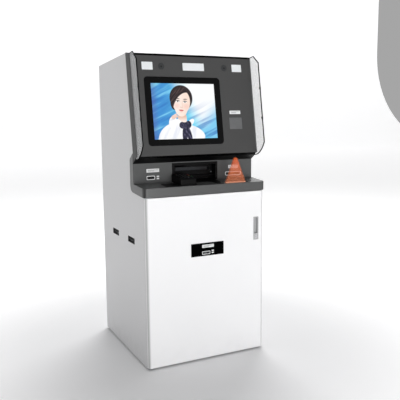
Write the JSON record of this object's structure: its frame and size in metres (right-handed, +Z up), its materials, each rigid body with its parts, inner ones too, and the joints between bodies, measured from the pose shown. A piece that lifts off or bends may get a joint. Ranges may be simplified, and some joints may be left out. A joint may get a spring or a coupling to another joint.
{
  "type": "cash machine",
  "caption": "Free-standing lobby cash machine: leaning screen fascia with privacy wings, sloping shelf with keypad and slots, and a lower door over a safe.",
  "frame": {"origin": "middle of the base's bounding box, on the floor that the feet stand on", "axes": "+X to the right seen from the front, +Y to the rear, +Z up; the screen and the lower door face -Y"},
  "size_m": [0.656, 0.666, 1.515],
  "materials": {
    "side_paint": "fine satin powder coat",
    "door_paint": "smooth white powder coat",
    "fascia_paint": "dark grey satin paint",
    "housing_grey": "dark grey moulded plastic, fine grain",
    "chin_black": "black, light grain",
    "bezel_black": "gloss black",
    "screen": "lit display",
    "light_lens": "prismatic white diffuser",
    "camera_window": "smoked window",
    "reader_grey": "mid grey, fine grain",
    "wing_white": "frosted light grey sheet",
    "trim_black": "black edging",
    "key_metal": "dark satin keys",
    "slot_white": "white lit ring",
    "marker_white": "blank white label",
    "guard_amber": "translucent amber, satin",
    "pull_grey": "grey moulded grip",
    "shutter_steel": "dark brushed plate",
    "frame_steel": "zinc grey",
    "bright_steel": "turned steel",
    "vault_paint": "blue grey hammered paint",
    "cassette_grey": "grey glass-filled plastic",
    "module_black": "black module casing",
    "computer_grey": "textured dark paint",
    "paper": "thermal paper"
  },
  "bodies": {
    "cabinet": {"side_panel_left": "side_paint", "side_panel_right": "side_paint", "side_slots": "chin_black", "roof_panel": "side_paint", "rear_panel": "side_paint", "base_frame": "frame_steel", "levelling_feet": "bright_steel", "inner_frame": "frame_steel", "hinge_pins": "bright_steel", "shelf_housing": "housing_grey", "recess_wall": "housing_grey", "cash_recess": "chin_black", "keypad_housing": "chin_black", "card_bezel": "slot_white", "card_reader": "module_black", "receipt_bezel": "slot_white", "receipt_printer": "module_black", "wall_markers": "marker_white", "card_guard": "guard_amber", "safe_body": "vault_paint", "vault_door": "vault_paint", "cash_cassettes": "cassette_grey", "cash_dispenser": "module_black", "control_computer": "computer_grey", "power_inlet": "module_black"},
    "front_door": {"door_skin": "door_paint", "door_frame": "frame_steel", "door_plate": "bezel_black", "door_markers": "marker_white", "door_pull": "pull_grey"},
    "lock_cam": {"door_lock": "bright_steel"},
    "fascia": {"fascia_panel": "fascia_paint", "fascia_chin": "chin_black", "screen_bezel": "bezel_black", "display_module": "screen", "light_panels": "light_lens", "camera_windows": "camera_window", "contactless_reader": "reader_grey", "wing_left": "wing_white", "wing_right": "wing_white", "wing_trim": "trim_black"},
    "note_shutter": {"cash_shutter": "shutter_steel"},
    "paper_roll": {"receipt_roll": "paper"},
    "dial": {"vault_dial": "bright_steel"},
    "bolt_handle": {"vault_handle": "bright_steel"},
    "key_1": {"key_1": "key_metal"},
    "key_2": {"key_2": "key_metal"},
    "key_3": {"key_3": "key_metal"},
    "key_4": {"key_4": "key_metal"},
    "key_5": {"key_5": "key_metal"},
    "key_6": {"key_6": "key_metal"},
    "key_7": {"key_7": "key_metal"},
    "key_8": {"key_8": "key_metal"},
    "key_9": {"key_9": "key_metal"},
    "key_point": {"key_point": "key_metal"},
    "key_0": {"key_0": "key_metal"},
    "key_double_0": {"key_double_0": "key_metal"},
    "key_cancel": {"key_cancel": "key_metal"},
    "key_clear": {"key_clear": "key_metal"},
    "key_enter": {"key_enter": "key_metal"}
  },
  "joints": [
    {"name": "door_swing", "type": "hinge", "parent": "cabinet", "child": "front_door", "pos_m": [-0.313, -0.319, 0.42], "axis": [0, 0, -1], "range_deg": [0, 110]},
    {"name": "door_lock_turn", "type": "hinge", "parent": "front_door", "child": "lock_cam", "pos_m": [0.276, -0.331, 0.602], "axis": [0, -1, 0], "range_deg": [0, 90]},
    {"name": "fascia_lift", "type": "hinge", "parent": "cabinet", "child": "fascia", "pos_m": [0, -0.123, 1.509], "axis": [-1, 0, 0], "range_deg": [0, 70]},
    {"name": "shutter_slide", "type": "slide", "parent": "cabinet", "child": "note_shutter", "axis": [0, 0, -1], "range_m": [0, 0.023]},
    {"name": "roll_spin", "type": "hinge", "parent": "cabinet", "child": "paper_roll", "pos_m": [-0.238, -0.049, 0.95492], "axis": [1, 0, 0], "continuous": true},
    {"name": "dial_spin", "type": "hinge", "parent": "cabinet", "child": "dial", "pos_m": [-0.055, -0.301, 0.4], "axis": [0, 1, 0], "continuous": true},
    {"name": "bolt_handle_turn", "type": "hinge", "parent": "cabinet", "child": "bolt_handle", "pos_m": [0.065, -0.301, 0.4], "axis": [0, 1, 0], "range_deg": [0, 90]},
    {"name": "key_1_press", "type": "slide", "parent": "cabinet", "child": "key_1", "axis": [0, 0.118, -0.993], "range_m": [0, 0.0016], "stiffness_N_per_m": 400},
    {"name": "key_2_press", "type": "slide", "parent": "cabinet", "child": "key_2", "axis": [0, 0.118, -0.993], "range_m": [0, 0.0016], "stiffness_N_per_m": 400},
    {"name": "key_3_press", "type": "slide", "parent": "cabinet", "child": "key_3", "axis": [0, 0.118, -0.993], "range_m": [0, 0.0016], "stiffness_N_per_m": 400},
    {"name": "key_4_press", "type": "slide", "parent": "cabinet", "child": "key_4", "axis": [0, 0.118, -0.993], "range_m": [0, 0.0016], "stiffness_N_per_m": 400},
    {"name": "key_5_press", "type": "slide", "parent": "cabinet", "child": "key_5", "axis": [0, 0.118, -0.993], "range_m": [0, 0.0016], "stiffness_N_per_m": 400},
    {"name": "key_6_press", "type": "slide", "parent": "cabinet", "child": "key_6", "axis": [0, 0.118, -0.993], "range_m": [0, 0.0016], "stiffness_N_per_m": 400},
    {"name": "key_7_press", "type": "slide", "parent": "cabinet", "child": "key_7", "axis": [0, 0.118, -0.993], "range_m": [0, 0.0016], "stiffness_N_per_m": 400},
    {"name": "key_8_press", "type": "slide", "parent": "cabinet", "child": "key_8", "axis": [0, 0.118, -0.993], "range_m": [0, 0.0016], "stiffness_N_per_m": 400},
    {"name": "key_9_press", "type": "slide", "parent": "cabinet", "child": "key_9", "axis": [0, 0.118, -0.993], "range_m": [0, 0.0016], "stiffness_N_per_m": 400},
    {"name": "key_point_press", "type": "slide", "parent": "cabinet", "child": "key_point", "axis": [0, 0.118, -0.993], "range_m": [0, 0.0016], "stiffness_N_per_m": 400},
    {"name": "key_0_press", "type": "slide", "parent": "cabinet", "child": "key_0", "axis": [0, 0.118, -0.993], "range_m": [0, 0.0016], "stiffness_N_per_m": 400},
    {"name": "key_double_0_press", "type": "slide", "parent": "cabinet", "child": "key_double_0", "axis": [0, 0.118, -0.993], "range_m": [0, 0.0016], "stiffness_N_per_m": 400},
    {"name": "key_cancel_press", "type": "slide", "parent": "cabinet", "child": "key_cancel", "axis": [0, 0.118, -0.993], "range_m": [0, 0.0016], "stiffness_N_per_m": 400},
    {"name": "key_clear_press", "type": "slide", "parent": "cabinet", "child": "key_clear", "axis": [0, 0.118, -0.993], "range_m": [0, 0.0016], "stiffness_N_per_m": 400},
    {"name": "key_enter_press", "type": "slide", "parent": "cabinet", "child": "key_enter", "axis": [0, 0.118, -0.993], "range_m": [0, 0.0016], "stiffness_N_per_m": 400}
  ]
}
